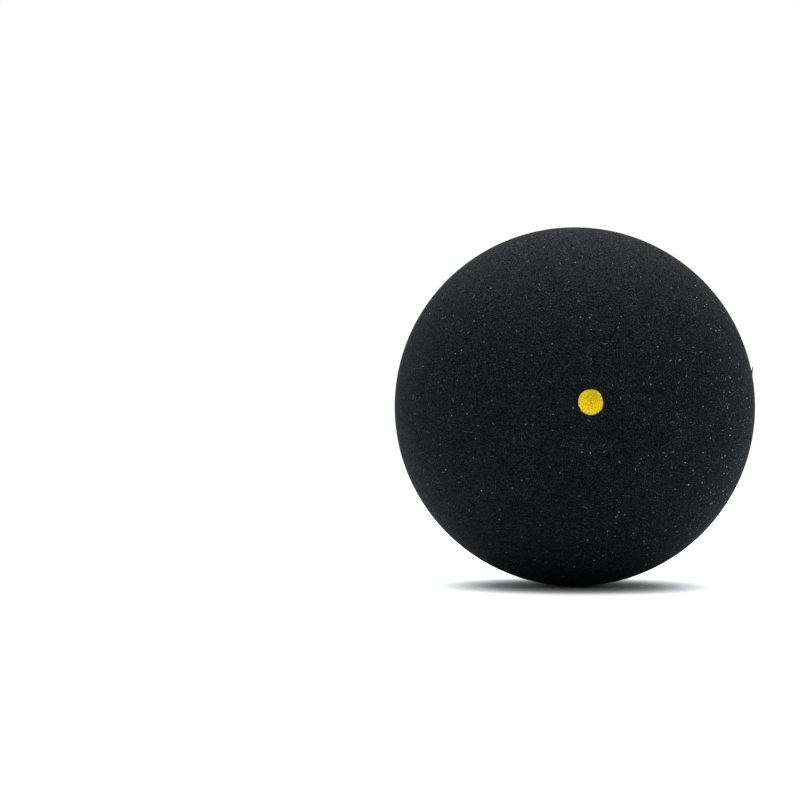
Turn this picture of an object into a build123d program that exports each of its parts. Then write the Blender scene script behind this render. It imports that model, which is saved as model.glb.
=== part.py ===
"""Squash ball: moulded rubber half shells cemented rim to rim, with a paint dot and a printed mark.

Frame: millimetres, +Z up, origin at the ball's centre. The seam lies in the XZ plane, the dot is
at the -Y pole and the printed mark lies round the +Y pole.
"""

import os
from math import degrees, sqrt

from build123d import *

# Rubber half shells
BALL_DIAMETER = 40.0
WALL = 5.2
RIM_CHAMFER = 0.06

# Cement between the rims, with the bead that is squeezed out into the cavity
CEMENT_THICKNESS = 0.16
CEMENT_BEAD_WIDTH = 1.6
CEMENT_BEAD_HEIGHT = 0.35

# Paint dot and the moulded dimple that it lies in
DOT_DIAMETER = 2.6
DOT_THICKNESS = 0.14
DOT_RIM_STEP = 0.03
DIMPLE_DEPTH = 0.3

# Printed mark, with its sizes as seen square on: a ring of dashes round crossed rackets
INK_THICKNESS = 0.03
RING_RADIUS = 10.8
RING_WIDTH = 0.8
DASH_COUNT = 20
DASH_GAP = 0.9
RACKET_TURN_DEGREES = 42
CROSSING_HEIGHT = -2.0
CROSSING_TO_HEAD = 1.5
HEAD_LENGTH = 7.0
HEAD_WIDTH = 5.2
HEAD_FRAME = 0.65
STRING_WIDTH = 0.22
STRING_SPACING = 1.0
SHAFT_WIDTH = 0.8
CROSSING_TO_GRIP = 0.9
GRIP_LENGTH = 4.0
GRIP_WIDTH = 1.3
EMBLEM_BALL_DIAMETER = 1.9
EMBLEM_BALL_HEIGHT = 5.2

# Radii that follow from those sizes
OUTER_RADIUS = BALL_DIAMETER / 2
INNER_RADIUS = OUTER_RADIUS - WALL
INK_RADIUS = OUTER_RADIUS + INK_THICKNESS
DOT_RADIUS = DOT_DIAMETER / 2

# The mark is drawn as someone who faces the +Y pole sees it, with its own y axis along +Z
MARK_PLANE = Plane(origin=(0, 0, 0), x_dir=(-1, 0, 0), z_dir=(0, 1, 0))
FRONT_SIDE = Rot(0, 0, 180)


# Profiles lie in the XY plane, with x as the distance from the Y axis, and are turned round that axis


def across(radius, height):
    """Point at that height, along the Y axis, on a circle round the ball's centre."""
    return Vector(sqrt(radius**2 - height**2), height)


def above(radius, distance):
    """Point at that distance from the Y axis on a circle round the ball's centre."""
    return Vector(distance, sqrt(radius**2 - distance**2))


def on_axis(height):
    return Vector(0, height)


def sphere_arc(start, end):
    """Arc round the ball's centre from one point to another that is as far from it."""
    middle = (start + end).normalized() * start.length
    return ThreePointArc(start, middle, end)


def bowl_arc(bottom, lip):
    """Arc from a point on the axis, which it crosses squarely, out to a lip."""
    return TangentArc(bottom, lip, tangent=(1, 0))


def turned(edges):
    """Solid made by turning a closed profile round the Y axis."""
    return revolve(make_face(edges), Axis.Y)


def half_shell(with_dimple):
    """Half shell on the +Y side, with its rim half a cement thickness from the seam plane."""
    rim_height = CEMENT_THICKNESS / 2
    inner_rim = across(INNER_RADIUS, rim_height)
    outer_rim = across(OUTER_RADIUS, rim_height) - Vector(RIM_CHAMFER, 0)
    chamfer_top = across(OUTER_RADIUS, rim_height + RIM_CHAMFER)
    inner_pole = on_axis(INNER_RADIUS)
    if with_dimple:
        outer_pole = on_axis(OUTER_RADIUS - DIMPLE_DEPTH)
        lip = above(OUTER_RADIUS, DOT_RADIUS)
        outside = [sphere_arc(chamfer_top, lip), bowl_arc(outer_pole, lip)]
    else:
        outer_pole = on_axis(OUTER_RADIUS)
        outside = [sphere_arc(chamfer_top, outer_pole)]
    return turned(
        [
            sphere_arc(inner_pole, inner_rim),
            Line(inner_rim, outer_rim),
            Line(outer_rim, chamfer_top),
            *outside,
            Line(outer_pole, inner_pole),
        ]
    )


def seam_cement():
    """Ring of cement that fills the joint from the chamfers inwards and ends in a rounded bead."""
    joint_sides = (CEMENT_THICKNESS / 2, -CEMENT_THICKNESS / 2)
    bead_sides = (CEMENT_BEAD_WIDTH / 2, -CEMENT_BEAD_WIDTH / 2)
    outer_edges = [across(OUTER_RADIUS, side) - Vector(RIM_CHAMFER, 0) for side in joint_sides]
    inner_edges = [across(INNER_RADIUS, side) for side in joint_sides]
    bead_edges = [across(INNER_RADIUS, side) for side in bead_sides]
    bead_crest = Vector(INNER_RADIUS - CEMENT_BEAD_HEIGHT, 0)
    return turned(
        [
            Line(*outer_edges),
            *(Line(outer, inner) for outer, inner in zip(outer_edges, inner_edges)),
            *(sphere_arc(inner, bead) for inner, bead in zip(inner_edges, bead_edges)),
            ThreePointArc(bead_edges[0], bead_crest, bead_edges[1]),
        ]
    )


def speed_dot():
    """Paint that lines the dimple on the +Y side, hollow in the middle and proud at its rim."""
    dimple_floor = on_axis(OUTER_RADIUS - DIMPLE_DEPTH)
    hollow = dimple_floor + Vector(0, DOT_THICKNESS)
    lip = above(OUTER_RADIUS, DOT_RADIUS)
    rim_top = lip + Vector(0, DOT_RIM_STEP)
    return turned(
        [
            bowl_arc(dimple_floor, lip),
            Line(lip, rim_top),
            bowl_arc(hollow, rim_top),
            Line(hollow, dimple_floor),
        ]
    )


def print_ring():
    """Ring of ink dashes, each turned from the ink film's thin profile."""
    outer_under, inner_under = (
        above(OUTER_RADIUS, RING_RADIUS + side) for side in (RING_WIDTH / 2, -RING_WIDTH / 2)
    )
    outer_over, inner_over = (
        edge.normalized() * INK_RADIUS for edge in (outer_under, inner_under)
    )
    profile = make_face(
        [
            sphere_arc(outer_under, inner_under),
            Line(inner_under, inner_over),
            sphere_arc(inner_over, outer_over),
            Line(outer_over, outer_under),
        ]
    )
    pitch = 360 / DASH_COUNT
    dash_turn = pitch - degrees(DASH_GAP / RING_RADIUS)
    dash = Rot(0, -dash_turn / 2, 0) * revolve(profile, Axis.Y, revolution_arc=dash_turn)
    return Compound([Rot(0, number * pitch, 0) * dash for number in range(DASH_COUNT)])


def string_bed(bed):
    """Crossed strings, spaced out from the middle of a racket's head and trimmed to its opening."""
    width, length = bed.bounding_box().size.X, bed.bounding_box().size.Y
    mains_each_side = int(width / 2 / STRING_SPACING)
    crosses_each_side = int(length / 2 / STRING_SPACING)
    mains = [
        Pos(number * STRING_SPACING, 0) * Rectangle(STRING_WIDTH, length)
        for number in range(-mains_each_side, mains_each_side + 1)
    ]
    crosses = [
        Pos(0, number * STRING_SPACING) * Rectangle(width, STRING_WIDTH)
        for number in range(-crosses_each_side, crosses_each_side + 1)
    ]
    return bed & (Sketch() + [*mains, *crosses])


def racket():
    """Outline of one upright racket with its crossing point at the origin."""
    frame = Ellipse(HEAD_WIDTH / 2, HEAD_LENGTH / 2)
    bed = Ellipse(HEAD_WIDTH / 2 - HEAD_FRAME, HEAD_LENGTH / 2 - HEAD_FRAME)
    head = Pos(0, CROSSING_TO_HEAD + HEAD_LENGTH / 2) * (frame - bed + string_bed(bed))
    shaft_top = CROSSING_TO_HEAD + HEAD_FRAME / 2
    grip_middle = -CROSSING_TO_GRIP - GRIP_LENGTH / 2
    shaft = Pos(0, (shaft_top + grip_middle) / 2) * Rectangle(SHAFT_WIDTH, shaft_top - grip_middle)
    grip = Pos(0, grip_middle) * SlotOverall(GRIP_LENGTH, GRIP_WIDTH, rotation=90)
    return head + shaft + grip


def print_emblem():
    """Crossed rackets and a ball, cut from the ink film by prisms along the Y axis."""
    crossing = Pos(0, CROSSING_HEIGHT)
    turns = (RACKET_TURN_DEGREES, -RACKET_TURN_DEGREES)
    rackets = [crossing * Rot(0, 0, turn) * racket() for turn in turns]
    emblem_ball = Pos(0, EMBLEM_BALL_HEIGHT) * Circle(EMBLEM_BALL_DIAMETER / 2)
    outline = MARK_PLANE * (Sketch() + [*rackets, emblem_ball])
    film = Sphere(INK_RADIUS) - Sphere(OUTER_RADIUS)
    return film & extrude(outline, amount=INK_RADIUS)


def main():
    nodes = {
        "dot_half_shell": FRONT_SIDE * half_shell(with_dimple=True),
        "print_half_shell": half_shell(with_dimple=False),
        "seam_cement": seam_cement(),
        "speed_dot": FRONT_SIDE * speed_dot(),
        "print_ring": print_ring(),
        "print_emblem": print_emblem(),
    }
    os.makedirs("parts", exist_ok=True)
    for name, solid in nodes.items():
        export_step(solid, f"parts/{name}.step")


main()
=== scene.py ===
"""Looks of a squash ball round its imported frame: matte black rubber, a painted dot and a printed mark.

Metres, +Z up, origin at the ball's centre. The dot is at the -Y pole, the mark round the +Y pole,
and the seam lies in the XZ plane.
"""

from math import asin, cos, exp, pi, radians, sin, sqrt, tau

import bmesh
import bpy
from mathutils import Matrix, Vector, noise


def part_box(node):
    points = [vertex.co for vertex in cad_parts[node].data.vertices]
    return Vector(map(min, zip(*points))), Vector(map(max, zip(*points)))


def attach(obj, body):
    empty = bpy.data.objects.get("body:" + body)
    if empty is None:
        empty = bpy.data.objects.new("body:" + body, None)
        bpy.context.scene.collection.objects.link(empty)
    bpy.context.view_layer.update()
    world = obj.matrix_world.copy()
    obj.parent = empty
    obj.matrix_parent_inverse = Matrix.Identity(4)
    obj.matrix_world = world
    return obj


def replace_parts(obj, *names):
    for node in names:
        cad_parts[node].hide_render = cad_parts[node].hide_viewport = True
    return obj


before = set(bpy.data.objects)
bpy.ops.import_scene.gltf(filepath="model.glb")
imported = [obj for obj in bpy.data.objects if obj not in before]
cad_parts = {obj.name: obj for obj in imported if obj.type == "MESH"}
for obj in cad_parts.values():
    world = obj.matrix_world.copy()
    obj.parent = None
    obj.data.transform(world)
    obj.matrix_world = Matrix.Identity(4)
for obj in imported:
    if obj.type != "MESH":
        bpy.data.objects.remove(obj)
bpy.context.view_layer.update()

MM = 0.001
Y_AXIS = Vector((0, 1, 0))
Z_AXIS = Vector((0, 0, 1))
WHITE = (1, 1, 1, 1)

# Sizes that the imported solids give
BALL_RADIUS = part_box("print_half_shell")[1].y
RIM_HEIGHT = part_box("print_half_shell")[0].y
CAVITY_RADIUS = min(vertex.co.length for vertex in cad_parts["print_half_shell"].data.vertices)
RIM_CHAMFER = BALL_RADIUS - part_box("seam_cement")[1].x
DOT_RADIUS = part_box("speed_dot")[1].x
DIMPLE_DEPTH = BALL_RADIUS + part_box("speed_dot")[1].y
DIMPLE_LIP = sqrt(BALL_RADIUS**2 - DOT_RADIUS**2)

# Fineness of the turned meshes
OUTSIDE_STEPS = 90
CAVITY_STEPS = 36
DIMPLE_STEPS = 10
SHELL_TURN_STEPS = 240
PAINT_RINGS = 30
PAINT_TURN_STEPS = 144
MERGE_DISTANCE = 0.0005 * MM

# Paint in the dimple: a hollow inside a raised rim
HOLLOW_DEPTH = 0.2 * MM
HOLLOW_START = 0.1 * MM
HOLLOW_END = DOT_RADIUS - 0.12 * MM
CREST_RADIUS = DOT_RADIUS - 0.09 * MM
CREST_WIDTH = 0.08 * MM
CREST_HEIGHT = 0.025 * MM

# Uneven paint: long and short waves in its edge, as reach and closeness, and waves on its surface
EDGE_WAVES = ((0.0798 * MM, 1.7), (0.0456 * MM, 9.7))
EDGE_WAVES_DRAW = Vector((3.1, 2.9, 4.3))
EDGE_WAVES_FADE = 6
SURFACE_WAVE_HEIGHT = 0.008 * MM
SURFACE_WAVE_LENGTH = 0.35 * MM

# Torn tongue of flash on the rubber, near the outline that the camera sees
FLASH_ANGLE = radians(9.3)
FLASH_FORWARD = radians(10.3)
FLASH_LENGTH = 1.12 * MM
FLASH_WIDTH = 0.5 * MM
FLASH_NARROWING = 0.8
FLASH_NARROWING_POWER = 1.5
FLASH_LIFT = 0.28 * MM
FLASH_LIFT_POWER = 1.3
FLASH_ROOT_THICKNESS = 0.36 * MM
FLASH_TIP_THICKNESS = 0.08 * MM
FLASH_THINNING_POWER = 1.5
FLASH_TEAR = 0.06
FLASH_TEARS_ACROSS = 3
FLASH_TEARS_ALONG = 6
FLASH_CUTS = 9

# Span that most values of a noise lie in
NOISE_SPAN = (0.35, 0.65)

# Specks and fibres: their least and greatest shares of the size and strength of their kind
SPECK_SIZES = (0.5, 1.0)
SPECK_FAINTNESS = 3
FIBRE_LENGTHS = (0.35, 1.0)
FIBRE_STRENGTHS = (0.1, 1.0)
FIBRE_FAINTNESS = 2
FIBRE_BOW = 1.2
FIBRE_LEAN_DRAW = 37.0
SOLID_CORE = 0.3

# Kinds of specks and fibres: spacing, size, share of the places that hold one, own shift and strength
DUST = dict(cell=0.22 * MM, radius=0.065 * MM, share=0.8, shift=0.0, strength=0.12)
SPOTS = dict(cell=1.0 * MM, radius=0.10 * MM, share=0.3, shift=13 * MM, strength=0.65)
FLECKS = dict(cell=0.8 * MM, length=0.3 * MM, width=0.055 * MM, share=0.11, shift=53 * MM, strength=0.25)
LINT = dict(cell=1.9 * MM, length=0.75 * MM, width=0.05 * MM, share=0.16, shift=27 * MM, strength=0.2)
SCUFFS = dict(cell=5.0 * MM, length=2.6 * MM, width=0.06 * MM, share=0.25, shift=41 * MM, strength=0.25)
STIPPLE = dict(cell=0.14 * MM, radius=0.055 * MM, share=0.8, shift=3 * MM, strength=0.95)
PINHOLES = dict(cell=0.33 * MM, radius=0.085 * MM, share=0.5, shift=19.1 * MM, strength=2.6)

# Black rubber: its colour, and the granules, grain and patches in its skin
RUBBER_BLACK = (0.0025, 0.0031, 0.0036)
GRANULE = 0.06 * MM
GRANULE_SPAN = (0.47, 0.73)
GRANULE_PALENESS = (0.05, 3.5)
GRAIN = 0.11 * MM
PATCH = 0.9 * MM
PATCH_PALENESS = (0.7, 1.3)
TINT_PATCH = 2.4 * MM
TINT_SPREAD = (0.6, 0.6, 0.6)
TINT_LEAST = (0.7, 0.7, 0.7)
RUBBER_RELIEF = 0.28 * MM
RUBBER_ROUGHNESS = (0.55, 0.85)

# Faint sheen that the rubber and the cement share
MATT_SPECULAR = 0.02
SHEEN = 0.0525
SHEEN_ROUGHNESS = 0.65

# Dust and scuffs on the rubber: their colour, the side where dust lies thickest, and its clusters
DUST_GREY = (0.55, 0.56, 0.55, 1)
DUSTY_SIDE = Vector((0.9, 0.0, -0.3))
DUSTY_SIDE_SPAN = (0.6, 1.3)
DUSTY_SIDE_STRENGTHS = (0.85, 2.35)
DUST_DRIFT = 9.0 * MM
DUST_CLUSTER = 2.6 * MM
DUST_CLUSTER_STRENGTHS = (0.4, 1.6)
SCUFFED_GRAIN_SPAN = (0.47, 0.6)

# Yellow paint: its colours, among them a painted shade and a painted highlight, and how strongly each
# comes in
PAINT_DEEP = (0.50, 0.315, 0.003, 1)
PAINT_BRIGHT = (0.855, 0.563, 0.015, 1)
# painted shade: the darker, deeper yellow of the hollow's upper wall, which faces down, away from the
# lamp above
PAINT_SHADE = (0.459, 0.285, 0.0, 1)
PAINT_SHADE_SHARE = 0.7
# painted highlight: the paler yellow of the raised rim where it catches the light
PAINT_RIM_HIGHLIGHT = (0.715, 0.565, 0.08, 1)
RIM_HIGHLIGHT_SHARE = 0.14
PAINT_EDGE = (0.28, 0.19, 0.03, 1)
PAINT_EDGE_SHARE = 0.4
PAINT_HOLE = (0.12, 0.08, 0.003, 1)
PAINT_HOLE_SHARE = 0.9

# Yellow paint: where its painted shade lies on the hollow's upper wall, where its painted rim highlight
# and its edge begin, and the side with more holes
SHADE_PLACE = Vector((0.3 * MM, -DIMPLE_LIP, 0.65 * MM))
SHADE_REACH = 1.5 * MM
RIM_HIGHLIGHT_START = DOT_RADIUS - 0.3 * MM
DARK_EDGE_START = DOT_RADIUS - 0.22 * MM
HOLES_SPAN = (-0.6 * MM, 0.6 * MM)
HOLES_STRENGTHS = (0.5, 1.5)
PAINT_GRAIN = 0.12 * MM
PAINT_GRAIN_ROUGHNESS = 0.6
PAINT_RELIEF = 0.02 * MM
PAINT_ROUGHNESS = (0.45, 0.65)
PAINT_SPECULAR = 0.05

# Pale ink: its colours, its wear, and the pits where it follows the rubber's grain
INK_WORN = (0.192, 0.225, 0.255, 1)
INK_FULL = (0.375, 0.422, 0.46, 1)
INK_WEAR = 1.4 * MM
INK_WEAR_SHARE = 0.75
INK_PIT = (0.05, 0.06, 0.065, 1)
INK_PIT_SHARE = 0.75
INK_PIT_SPAN = (0.42, 0.32)
INK_RELIEF = 0.03 * MM
INK_ROUGHNESS = (0.6, 0.8)
INK_SPECULAR = 0.15

# Rubber cement: its colour, its lumps, and longer stretches that are dark or pale
CEMENT_BROWN = (0.0050, 0.0047, 0.0043)
CEMENT_GRANULE_PALENESS = (0.05, 2.05)
CEMENT_LUMP = 0.4 * MM
CEMENT_STRETCH = 3.0 * MM
CEMENT_STRETCH_PALENESS = (0.4, 1.2)
CEMENT_RELIEF = 0.04 * MM
CEMENT_ROUGHNESS = (0.55, 0.75)

# Camera, from where the ball lies in the picture, in pixels
PICTURE_SIDE = 800
BALL_CENTRE_X = 573.4
BALL_CENTRE_Y = 406.7
CAMERA_DEPTH = 219 * MM
CAMERA_PITCH = radians(1.5)
LENS = 88.1
SENSOR = 36
NEAREST_SEEN = 10 * MM

# Light, as the brightness of what gives it, where 1 is white
ROOM_LIGHT = 0.41
SOFTBOX_LIGHT = 3.5
SOFTBOX_COLOUR = (0.80, 0.935, 1.0)
SOFTBOX_SIDE = 0.9
SOFTBOX_PLACE = Vector((0.0, 0.025, 0.5))

# Floor: its colour, how much whiter it is seen, and how far from the ball's centre that comes in
FLOOR_SIDE = 6.0
FLOOR_COLOUR = (0.9, 0.9, 0.9, 1)
FLOOR_LIFT = 0.78
PAST_SHADOW_SPAN = (20 * MM, 30 * MM)
PAST_LAMP_SPAN = (150 * MM, 600 * MM)


class Socket:
    """A node's output, whose sums, products, powers and comparisons add Math nodes."""

    def __init__(self, finish, output):
        self.finish = finish
        self.output = output

    def other(self, name):
        """Another output of the same node."""
        return Socket(self.finish, self.output.node.outputs[name])

    def __add__(self, value):
        return self.finish.math("ADD", self, value)

    def __radd__(self, value):
        return self.finish.math("ADD", value, self)

    def __sub__(self, value):
        return self.finish.math("SUBTRACT", self, value)

    def __rsub__(self, value):
        return self.finish.math("SUBTRACT", value, self)

    def __mul__(self, value):
        return self.finish.math("MULTIPLY", self, value)

    def __rmul__(self, value):
        return self.finish.math("MULTIPLY", value, self)

    def __pow__(self, value):
        return self.finish.math("POWER", self, value)

    def __rpow__(self, value):
        return self.finish.math("POWER", value, self)

    def __abs__(self):
        return self.finish.math("ABSOLUTE", self)

    def __lt__(self, value):
        return self.finish.math("LESS_THAN", self, value)


class Finish:
    """A material, or the world's light, whose nodes are added from Python."""

    def __init__(self, owner):
        owner.use_nodes = True
        self.owner = owner
        self.tree = owner.node_tree

    def node(self, kind, settings=(), inputs=(), out=0):
        """Adds a node, sets it up, fills or links its inputs, and returns one of its outputs."""
        added = self.tree.nodes.new(kind)
        for name, value in dict(settings).items():
            setattr(added, name, value)
        self.fill(added, inputs)
        return Socket(self, added.outputs[out])

    def fill(self, node, inputs):
        for name, value in dict(inputs).items():
            if isinstance(value, Socket):
                self.tree.links.new(value.output, node.inputs[name])
            else:
                node.inputs[name].default_value = value

    def shade(self, **inputs):
        """Fills the Principled shader, whose sockets are named with their spaces as underscores."""
        shader = self.tree.nodes["Principled BSDF"]
        self.fill(shader, {name.replace("_", " "): value for name, value in inputs.items()})
        return self.owner

    def math(self, operation, *values):
        return self.node("ShaderNodeMath", {"operation": operation}, enumerate(values))

    def vector(self, operation, *values, out=0):
        return self.node("ShaderNodeVectorMath", {"operation": operation}, enumerate(values), out)

    def scaled(self, vector, factor):
        inputs = {"Vector": vector, "Scale": factor}
        return self.node("ShaderNodeVectorMath", {"operation": "SCALE"}, inputs)

    def dot(self, first, second):
        return self.vector("DOT_PRODUCT", first, second, out="Value")

    def length(self, vector):
        return self.vector("LENGTH", vector, out="Value")

    def parts(self, vector):
        """The three parts of a vector or a colour."""
        x = self.node("ShaderNodeSeparateXYZ", inputs={0: vector})
        return x, x.other("Y"), x.other("Z")

    def place(self):
        return self.node("ShaderNodeTexCoord", out="Object")

    def ramp(self, value, start, end):
        """0 where the value is at or before start, 1 at or past end, and smooth between."""
        inputs = {"Value": value, "From Min": start, "From Max": end}
        return self.node("ShaderNodeMapRange", {"interpolation_type": "SMOOTHSTEP"}, inputs)

    def mix(self, factor, first, second):
        inputs = {0: factor, 6: first, 7: second}
        return self.node("ShaderNodeMix", {"data_type": "RGBA"}, inputs, out=2)

    def noise(self, place, size, detail=2.0, roughness=0.5, out="Fac"):
        """Noise whose patches are about as wide as size."""
        inputs = {"Vector": place, "Scale": 1 / size, "Detail": detail, "Roughness": roughness}
        return self.node("ShaderNodeTexNoise", inputs=inputs, out=out)

    def cells(self, place, size, out):
        """Random cells about as wide as size."""
        inputs = {"Vector": place, "Scale": 1 / size}
        return self.node("ShaderNodeTexVoronoi", inputs=inputs, out=out)

    def bump(self, height, distance):
        return self.node("ShaderNodeBump", inputs={"Height": height, "Distance": distance})


def between(ends, factor):
    """A number that goes from one end to the other as the factor goes from 0 to 1."""
    first, last = ends
    return first + (last - first) * factor


def scattered(finish, place, outward, cell, shift):
    """Points strewn a cell apart: the way along the surface from the nearest, and its random colour."""
    moved = finish.vector("ADD", place, (shift, shift, shift))
    point = finish.cells(moved, cell, out="Position")
    away = finish.vector("SUBTRACT", moved, point)
    flat = finish.vector("SUBTRACT", away, finish.scaled(outward, finish.dot(away, outward)))
    return flat, point.other("Color")


def specks(finish, place, outward, cell, radius, share, shift, strength):
    """Round specks, many faint and few bright, in that share of the cells."""
    flat, lots = scattered(finish, place, outward, cell, shift)
    chance, brightness, size = finish.parts(lots)
    reach = radius * between(SPECK_SIZES, size)
    spot = finish.ramp(finish.length(flat), reach, SOLID_CORE * reach)
    return strength * spot * (chance < share) * brightness**SPECK_FAINTNESS


def fibres(finish, place, outward, cell, length, width, share, shift, strength):
    """Thin bent fibres that lie in the surface at random headings, in that share of the cells."""
    flat, lots = scattered(finish, place, outward, cell, shift)
    chance, brightness, size = finish.parts(lots)
    draw = finish.vector("FRACTION", finish.scaled(lots, FIBRE_LEAN_DRAW))
    lean = finish.vector("SUBTRACT", draw, (0.5, 0.5, 0.5))
    heading = finish.vector("NORMALIZE", finish.vector("CROSS_PRODUCT", outward, lean))
    along = finish.dot(flat, heading)
    across = finish.dot(flat, finish.vector("CROSS_PRODUCT", outward, heading))
    bow = (brightness - 0.5) * (FIBRE_BOW / length) * along * along
    beyond = finish.math("MAXIMUM", abs(along) - length / 2 * between(FIBRE_LENGTHS, size), 0.0)
    distance = finish.math("SQRT", beyond * beyond + (across - bow) ** 2)
    line = finish.ramp(distance, width, SOLID_CORE * width)
    return strength * line * (chance < share) * between(FIBRE_STRENGTHS, brightness**FIBRE_FAINTNESS)


def grain(finish, place):
    """Fine moulded grain of the rubber, about 0.5."""
    return finish.noise(place, GRAIN, detail=1.0)


def granules(finish, place):
    """Granules in the rubber's skin: 0 in the dark ones, 1 in the pale ones and between in a few."""
    tone, _, _ = finish.parts(finish.cells(place, GRANULE, out="Color"))
    return finish.ramp(tone, *GRANULE_SPAN)


def dust_and_fibres(finish, place, outward, height):
    """Cover of the pale specks and fibres on the rubber, with scuffs only on its high grain."""
    drift = finish.noise(place, DUST_DRIFT)
    dusty = finish.ramp(finish.dot(outward, DUSTY_SIDE) + drift, *DUSTY_SIDE_SPAN)
    clustered = finish.ramp(finish.noise(place, DUST_CLUSTER), *NOISE_SPAN)
    dust = between(DUST_CLUSTER_STRENGTHS, clustered) * specks(finish, place, outward, **DUST)
    spots = specks(finish, place, outward, **SPOTS)
    flecks = fibres(finish, place, outward, **FLECKS)
    lint = fibres(finish, place, outward, **LINT)
    scuffs = finish.ramp(height, *SCUFFED_GRAIN_SPAN) * fibres(finish, place, outward, **SCUFFS)
    return between(DUSTY_SIDE_STRENGTHS, dusty) * (dust + spots + flecks) + lint + scuffs


def black_rubber():
    """Matte black rubber with moulded grain, faint mottling, pale specks and short pale fibres."""
    finish = Finish(bpy.data.materials.new("black_rubber"))
    place = finish.place()
    outward = finish.vector("NORMALIZE", place)
    height = grain(finish, place)
    patches = finish.noise(place, PATCH)
    paleness = between(GRANULE_PALENESS, granules(finish, place)) * between(PATCH_PALENESS, patches)
    hue = finish.noise(place, TINT_PATCH, out="Color")
    tint = finish.vector("MULTIPLY_ADD", hue, TINT_SPREAD, TINT_LEAST)
    plain = finish.scaled(finish.vector("MULTIPLY", tint, RUBBER_BLACK), paleness)
    return finish.shade(
        Base_Color=finish.mix(dust_and_fibres(finish, place, outward, height), plain, DUST_GREY),
        Roughness=between(RUBBER_ROUGHNESS, height),
        Specular_IOR_Level=MATT_SPECULAR,
        Coat_Weight=SHEEN * paleness,
        Coat_Roughness=SHEEN_ROUGHNESS,
        Normal=finish.bump(height, RUBBER_RELIEF),
    )


def yellow_paint():
    """Semi-matte grainy yellow paint with pinholes, with painted shade that makes it deeper and darker
    on the hollow's upper wall, a painted highlight that makes its rim paler, and darker at its edge.
    """
    finish = Finish(bpy.data.materials.new("yellow_paint"))
    place = finish.place()
    x, _, z = finish.parts(place)
    off_middle = finish.math("SQRT", x * x + z * z)
    height = finish.noise(place, PAINT_GRAIN, roughness=PAINT_GRAIN_ROUGHNESS)
    body = finish.mix(finish.ramp(height, *NOISE_SPAN), PAINT_DEEP, PAINT_BRIGHT)
    # painted shade: darkens the paint towards the hollow's upper wall, which faces down, away from the
    # lamp above
    off_shade = finish.length(finish.vector("SUBTRACT", place, SHADE_PLACE))
    upper_shade = finish.ramp(off_shade, SHADE_REACH, 0.0)
    shaded = finish.mix(PAINT_SHADE_SHARE * upper_shade, body, PAINT_SHADE)
    # painted highlight: pales the paint on its raised rim, as if it caught the light
    rim = finish.ramp(off_middle, RIM_HIGHLIGHT_START, HOLLOW_END)
    highlighted = finish.mix(RIM_HIGHLIGHT_SHARE * rim, shaded, PAINT_RIM_HIGHLIGHT)
    edge = finish.ramp(off_middle, DARK_EDGE_START, DOT_RADIUS)
    edged = finish.mix(PAINT_EDGE_SHARE * edge, highlighted, PAINT_EDGE)
    stipple = specks(finish, place, -Y_AXIS, **STIPPLE)
    pinholes = specks(finish, place, -Y_AXIS, **PINHOLES)
    bare_side = between(HOLES_STRENGTHS, finish.ramp(x, *HOLES_SPAN))
    holes = finish.math("MINIMUM", bare_side * (stipple + pinholes), 1.0)
    return finish.shade(
        Base_Color=finish.mix(PAINT_HOLE_SHARE * holes, edged, PAINT_HOLE),
        Roughness=between(PAINT_ROUGHNESS, height),
        Specular_IOR_Level=PAINT_SPECULAR,
        Normal=finish.bump(height - holes, PAINT_RELIEF),
    )


def pale_ink():
    """Thin pale ink that follows the rubber's grain and lets it show in pits."""
    finish = Finish(bpy.data.materials.new("pale_ink"))
    place = finish.place()
    height = grain(finish, place)
    pits = finish.ramp(height, *INK_PIT_SPAN)
    wear = finish.noise(place, INK_WEAR)
    tone = INK_WEAR_SHARE * wear + (1 - INK_WEAR_SHARE) * granules(finish, place)
    body = finish.mix(tone, INK_WORN, INK_FULL)
    return finish.shade(
        Base_Color=finish.mix(INK_PIT_SHARE * pits, body, INK_PIT),
        Roughness=between(INK_ROUGHNESS, pits),
        Specular_IOR_Level=INK_SPECULAR,
        Normal=finish.bump(height, INK_RELIEF),
    )


def rubber_cement():
    """Dull brown-black lumpy cement, buffed into the granules of the rubber beside it."""
    finish = Finish(bpy.data.materials.new("rubber_cement"))
    place = finish.place()
    lumps = finish.noise(place, CEMENT_LUMP)
    stretches = finish.ramp(finish.noise(place, CEMENT_STRETCH, detail=1.0), *NOISE_SPAN)
    buffed = between(CEMENT_GRANULE_PALENESS, granules(finish, place))
    paleness = buffed * between(CEMENT_STRETCH_PALENESS, stretches)
    return finish.shade(
        Base_Color=finish.scaled(CEMENT_BROWN, paleness),
        Roughness=between(CEMENT_ROUGHNESS, lumps),
        Specular_IOR_Level=MATT_SPECULAR,
        Coat_Weight=SHEEN * paleness,
        Coat_Roughness=SHEEN_ROUGHNESS,
        Normal=finish.bump(lumps, CEMENT_RELIEF),
    )


def ray_kinds(finish):
    """1 for a ray straight from the lens, and 1 for a ray from a gloss or a glass."""
    camera = finish.node("ShaderNodeLightPath", out="Is Camera Ray")
    gloss = finish.math("MAXIMUM", camera.other("Is Glossy Ray"), camera.other("Is Transmission Ray"))
    return camera, gloss


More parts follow.
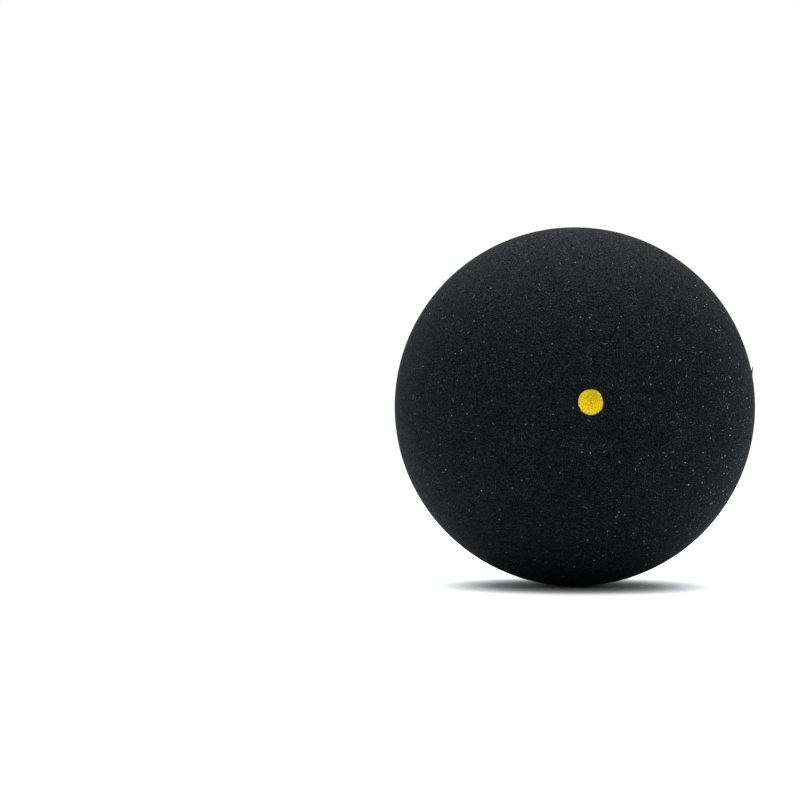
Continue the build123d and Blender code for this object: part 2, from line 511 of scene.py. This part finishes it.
def floor_white():
    """Pale matt floor, seen as white past the ball's shadow, and in a gloss past the lamp's light."""
    finish = Finish(bpy.data.materials.new("floor_white"))
    from_ball = finish.length(finish.place())
    past_shadow = finish.ramp(from_ball, *PAST_SHADOW_SPAN)
    past_lamp = finish.ramp(from_ball, *PAST_LAMP_SPAN)
    camera, gloss = ray_kinds(finish)
    lift = FLOOR_LIFT * finish.math("MAXIMUM", camera * past_shadow, gloss * past_lamp)
    matt = finish.node("ShaderNodeBsdfDiffuse", inputs={"Color": FLOOR_COLOUR})
    glow = finish.node("ShaderNodeEmission", inputs={"Strength": lift})
    both = finish.node("ShaderNodeAddShader", inputs={0: matt, 1: glow})
    finish.fill(finish.tree.nodes["Material Output"], {"Surface": both})
    return finish.owner


def arc_from(bm, vertex, centre, angle, steps):
    """Carries a profile on along an arc in the XY plane, and returns the arc's last vertex."""
    swept = bmesh.ops.spin(bm, geom=[vertex], cent=centre, axis=Z_AXIS, angle=angle, steps=steps)
    return next(item for item in swept["geom_last"] if isinstance(item, bmesh.types.BMVert))


def line_from(bm, vertex, place):
    """Carries a profile on in a straight line, and returns the new vertex."""
    added = bmesh.ops.extrude_vert_indiv(bm, verts=[vertex])["verts"][0]
    added.co = place
    return added


def put_in_order(items, rank):
    """Orders a mesh's corners or faces by rank, because a turn leaves them in another order each run."""
    for number, item in enumerate(sorted(items, key=rank)):
        item.index = number
    items.sort()


def turn_profile(bm, steps):
    """Turns a profile round the Y axis into a closed skin whose faces point outwards."""
    outline = bm.verts[:] + bm.edges[:]
    bmesh.ops.spin(bm, geom=outline, axis=Y_AXIS, angle=tau, steps=steps, use_merge=True)
    bmesh.ops.remove_doubles(bm, verts=bm.verts, dist=MERGE_DISTANCE)
    bmesh.ops.recalc_face_normals(bm, faces=bm.faces)
    put_in_order(bm.verts, lambda vertex: vertex.co[:])
    put_in_order(bm.faces, lambda face: sorted(vertex.index for vertex in face.verts))


def to_dot_side(bm):
    """Turns what was made on the +Y side round to the dot's side."""
    bmesh.ops.rotate(bm, verts=bm.verts, matrix=Matrix.Rotation(pi, 3, "Z"))


def object_of(bm, name, material):
    """Makes a smooth object of a mesh, in its place."""
    mesh = bpy.data.meshes.new(name)
    bm.to_mesh(mesh)
    bm.free()
    mesh.shade_smooth()
    mesh.materials.append(material)
    made = bpy.data.objects.new(name, mesh)
    bpy.context.scene.collection.objects.link(made)
    return made


def ball_piece(bm, name, material):
    """Makes an object that belongs to the ball, with its finish."""
    made = object_of(bm, name, material)
    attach(made, "root")
    return made


def dimple_bowl():
    """Centre and half angle of the arc that the dimple is turned from, on the +Y side."""
    drop = DIMPLE_LIP - (BALL_RADIUS - DIMPLE_DEPTH)
    radius = (DOT_RADIUS**2 + drop**2) / (2 * drop)
    centre = Vector((0, BALL_RADIUS - DIMPLE_DEPTH + radius, 0))
    return centre, asin(DOT_RADIUS / radius)


def half_shell(name, material, with_dimple):
    """Half shell, made on the +Y side: cavity wall, rim, chamfer, outside, and any dimple."""
    bm = bmesh.new()
    cavity_pole = bm.verts.new((0, CAVITY_RADIUS, 0))
    rim_latitude = asin(RIM_HEIGHT / CAVITY_RADIUS)
    rim_inside = arc_from(bm, cavity_pole, (0, 0, 0), rim_latitude - pi / 2, CAVITY_STEPS)
    rim_outside = line_from(bm, rim_inside, (BALL_RADIUS - RIM_CHAMFER, RIM_HEIGHT, 0))
    chamfer_latitude = asin((RIM_HEIGHT + RIM_CHAMFER) / BALL_RADIUS)
    chamfer_top = (BALL_RADIUS * cos(chamfer_latitude), BALL_RADIUS * sin(chamfer_latitude), 0)
    outside = line_from(bm, rim_outside, chamfer_top)
    if with_dimple:
        lip_latitude = asin(DIMPLE_LIP / BALL_RADIUS)
        lip = arc_from(bm, outside, (0, 0, 0), lip_latitude - chamfer_latitude, OUTSIDE_STEPS)
        centre, half_angle = dimple_bowl()
        arc_from(bm, lip, centre, -half_angle, DIMPLE_STEPS)
    else:
        arc_from(bm, outside, (0, 0, 0), pi / 2 - chamfer_latitude, OUTSIDE_STEPS)
    turn_profile(bm, SHELL_TURN_STEPS)
    if with_dimple:
        to_dot_side(bm)
    return ball_piece(bm, name, material)


def paint_height(distance):
    """Height of the paint's surface above the dimple's lip, at a distance from its middle."""
    share = min(max((distance - HOLLOW_START) / (HOLLOW_END - HOLLOW_START), 0), 1)
    slope = share * share * (3 - 2 * share)
    crest = CREST_HEIGHT * exp(-(((distance - CREST_RADIUS) / CREST_WIDTH) ** 2))
    return HOLLOW_DEPTH * (slope - 1) + crest


def unsettle_paint(bm):
    """Moves the paint's edge in and out and its surface up and down, as a drop dries."""
    for vertex in bm.verts:
        flat = Vector((vertex.co.x, 0, vertex.co.z))
        if flat.length < MERGE_DISTANCE:
            continue
        rim = flat.normalized()
        wobble = sum(
            reach * noise.noise(rim * closeness + EDGE_WAVES_DRAW) for reach, closeness in EDGE_WAVES
        )
        vertex.co += rim * wobble * (flat.length / DOT_RADIUS) ** EDGE_WAVES_FADE
        if vertex.co.y > DIMPLE_LIP - HOLLOW_DEPTH:
            vertex.co.y += SURFACE_WAVE_HEIGHT * noise.noise(flat / SURFACE_WAVE_LENGTH)


def paint_dot(material):
    """Paint that fills the dimple: the dimple's bowl below, and the hollow and rim above."""
    bm = bmesh.new()
    centre, half_angle = dimple_bowl()
    floor = bm.verts.new((0, BALL_RADIUS - DIMPLE_DEPTH, 0))
    edge = arc_from(bm, floor, centre, half_angle, DIMPLE_STEPS)
    for ring in range(PAINT_RINGS + 1):
        distance = DOT_RADIUS * (1 - ring / PAINT_RINGS)
        edge = line_from(bm, edge, (distance, DIMPLE_LIP + paint_height(distance), 0))
    turn_profile(bm, PAINT_TURN_STEPS)
    unsettle_paint(bm)
    to_dot_side(bm)
    return ball_piece(bm, "paint_dot", material)


def flash_tongue(material):
    """Small torn tongue of rubber that lifts off the ball's surface and tapers to its tip."""
    bm = bmesh.new()
    bmesh.ops.create_cube(bm, size=1)
    bmesh.ops.subdivide_edges(bm, edges=bm.edges, cuts=FLASH_CUTS, use_grid_fill=True)
    for vertex in bm.verts:
        along = vertex.co.y + 0.5
        under = 0.5 - vertex.co.z
        tear_place = Vector((FLASH_TEARS_ACROSS * vertex.co.x, FLASH_TEARS_ALONG * along, 0))
        torn = vertex.co.x + FLASH_TEAR * noise.noise(tear_place)
        across = torn * FLASH_WIDTH * (1 - FLASH_NARROWING * along**FLASH_NARROWING_POWER)
        extra = (FLASH_ROOT_THICKNESS - FLASH_TIP_THICKNESS) * (1 - along) ** FLASH_THINNING_POWER
        height = FLASH_LIFT * along**FLASH_LIFT_POWER - under * (FLASH_TIP_THICKNESS + extra)
        vertex.co = (across, FLASH_LENGTH * along, height)
    out = Vector((
        cos(FLASH_ANGLE) * cos(FLASH_FORWARD),
        -cos(FLASH_ANGLE) * sin(FLASH_FORWARD),
        sin(FLASH_ANGLE),
    ))
    side = Z_AXIS.cross(out).normalized()
    stand = Matrix((side, out.cross(side), out)).transposed().to_4x4()
    bmesh.ops.transform(bm, matrix=Matrix.Translation(out * BALL_RADIUS) @ stand, verts=bm.verts)
    return ball_piece(bm, "flash_tongue", material)


def finish_node(name, material):
    """Gives its finish to a solid that is shown as it is imported."""
    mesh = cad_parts[name].data
    mesh.materials.clear()
    mesh.materials.append(material)


def dress_ball():
    rubber = black_rubber()
    ink = pale_ink()
    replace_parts(half_shell("dot_half", rubber, with_dimple=True), "dot_half_shell")
    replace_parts(half_shell("print_half", rubber, with_dimple=False), "print_half_shell")
    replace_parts(paint_dot(yellow_paint()), "speed_dot")
    flash_tongue(rubber)
    finish_node("seam_cement", rubber_cement())
    finish_node("print_ring", ink)
    finish_node("print_emblem", ink)


def lay_floor():
    bm = bmesh.new()
    bmesh.ops.create_grid(bm, x_segments=1, y_segments=1, size=FLOOR_SIDE / 2)
    bmesh.ops.translate(bm, verts=bm.verts, vec=(0, 0, -BALL_RADIUS))
    object_of(bm, "floor", floor_white())


def light_room():
    """A dim room all round that is seen as white, straight from the lens and in a gloss."""
    world = bpy.data.worlds.new("studio")
    bpy.context.scene.world = world
    room = Finish(world)
    strength = between((ROOM_LIGHT, 1), room.math("MAXIMUM", *ray_kinds(room)))
    room.fill(room.tree.nodes["Background"], {"Color": WHITE, "Strength": strength})


def hang_softbox():
    """A square lamp above the ball that faces it."""
    lamp = bpy.data.lights.new("softbox", "AREA")
    lamp.size = SOFTBOX_SIDE
    lamp.color = SOFTBOX_COLOUR
    lamp.energy = SOFTBOX_LIGHT * pi * SOFTBOX_SIDE**2
    softbox = bpy.data.objects.new("softbox", lamp)
    softbox.location = SOFTBOX_PLACE
    softbox.rotation_euler = (-SOFTBOX_PLACE).to_track_quat("-Z", "Y").to_euler()
    bpy.context.scene.collection.objects.link(softbox)


def set_camera():
    """Puts the ball where the picture has it: level but for a slight upward pitch, looking along +Y."""
    camera = bpy.data.cameras.new("camera")
    camera.lens = LENS
    camera.sensor_width = SENSOR
    camera.clip_start = NEAREST_SEEN
    pixels_per_unit = LENS / SENSOR * PICTURE_SIDE
    right = (BALL_CENTRE_X - PICTURE_SIDE / 2) / pixels_per_unit * CAMERA_DEPTH
    down = (BALL_CENTRE_Y - PICTURE_SIDE / 2) / pixels_per_unit * CAMERA_DEPTH
    turn = Matrix.Rotation(pi / 2 + CAMERA_PITCH, 4, "X")
    ball_from_lens = turn.to_3x3() @ Vector((right, -down, -CAMERA_DEPTH))
    eye = bpy.data.objects.new("camera", camera)
    eye.matrix_world = Matrix.Translation(-ball_from_lens) @ turn
    bpy.context.scene.collection.objects.link(eye)
    bpy.context.scene.camera = eye


dress_ball()
lay_floor()
light_room()
hang_softbox()
set_camera()
bpy.context.scene.view_settings.view_transform = "Standard"
